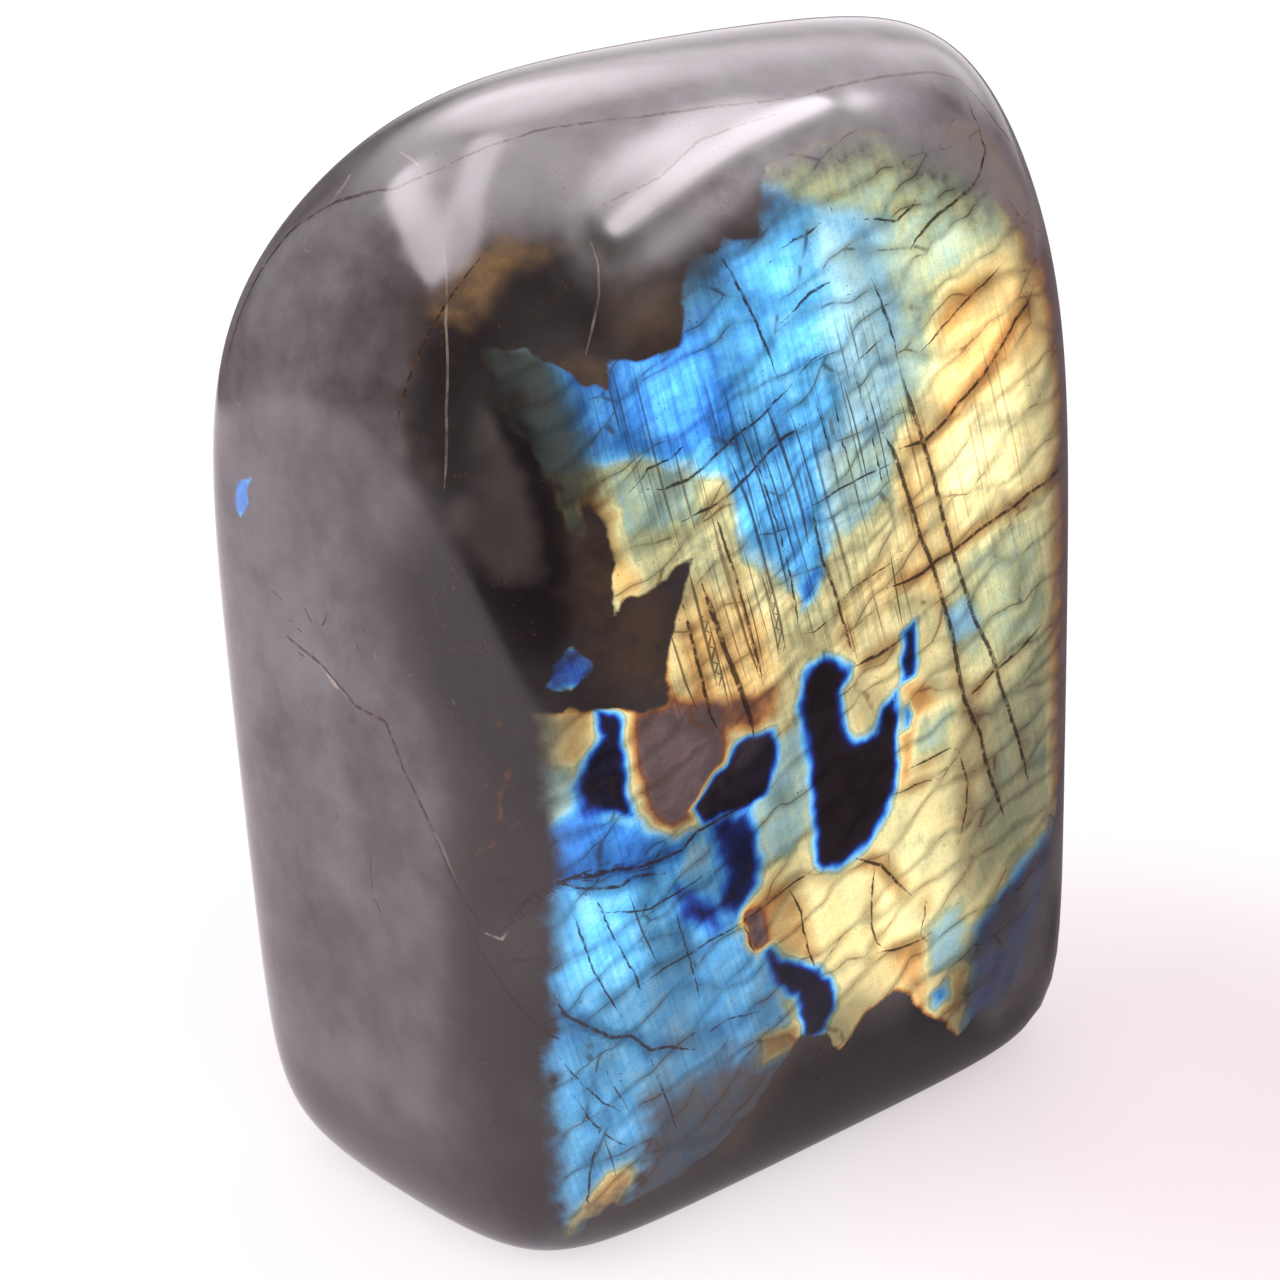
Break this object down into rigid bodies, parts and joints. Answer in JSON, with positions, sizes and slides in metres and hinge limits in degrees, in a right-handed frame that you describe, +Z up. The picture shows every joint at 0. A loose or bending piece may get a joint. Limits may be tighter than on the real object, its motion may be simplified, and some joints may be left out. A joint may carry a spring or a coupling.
{
  "type": "labradorite block",
  "caption": "Free-standing block of polished labradorite with a flat base, rounded shoulders and a broad face of coloured flash.",
  "frame": {"origin": "on the flat base, under the middle of the stone's outline", "axes": "+Z up from the base to the crown, -Y out of the broad coloured face, +X along that face toward its leaning end"},
  "size_m": [0.0904, 0.0526, 0.117],
  "materials": {
    "labradorite": "polished"
  },
  "bodies": {
    "root": {"labradorite_block": "labradorite"}
  },
  "joints": []
}
